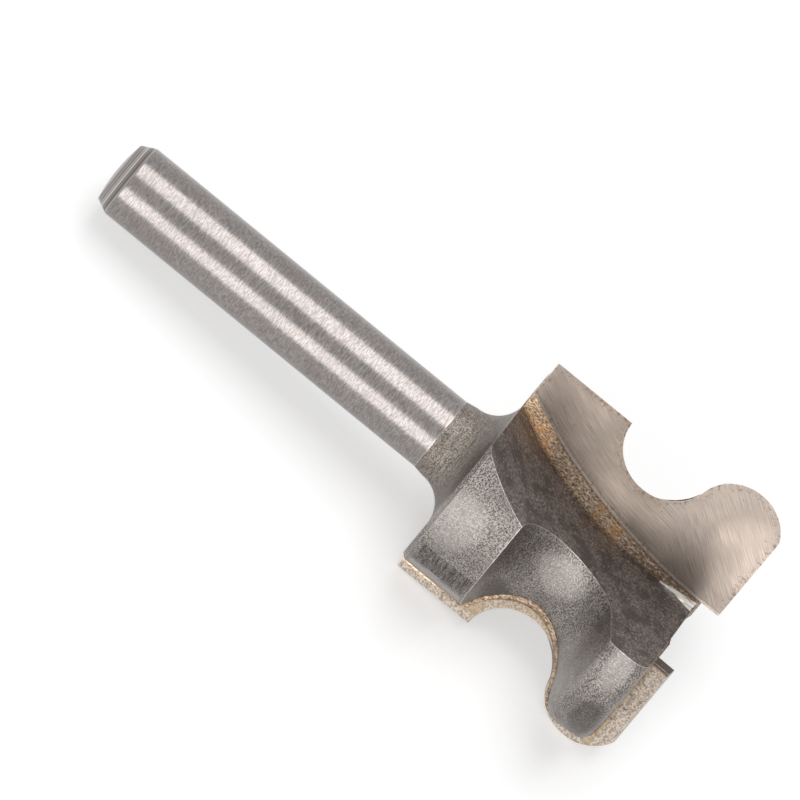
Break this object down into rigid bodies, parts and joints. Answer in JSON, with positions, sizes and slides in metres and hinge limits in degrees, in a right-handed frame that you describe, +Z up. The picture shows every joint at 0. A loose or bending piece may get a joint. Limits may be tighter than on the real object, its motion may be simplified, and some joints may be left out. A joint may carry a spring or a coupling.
{
  "type": "finger pull router bit",
  "caption": "Straight round-shank cutter whose two carbide wings have a rounded nose and a half-round hollow, for cutting finger pulls in wood.",
  "frame": {"origin": "on the floor under the middle of the bounding box, as the bit lies at rest", "axes": "+X runs along the lying bit towards its cutting end, +Z is up"},
  "size_m": [0.0582, 0.0228, 0.0204],
  "materials": {
    "steel": "ground shank, blasted head",
    "carbide": "ground rake faces, unground back",
    "braze": "rough, oxidised"
  },
  "bodies": {
    "root": {"body": "steel", "carbide_tip_1": "carbide", "carbide_tip_2": "carbide", "braze_1": "braze", "braze_2": "braze"}
  },
  "joints": []
}
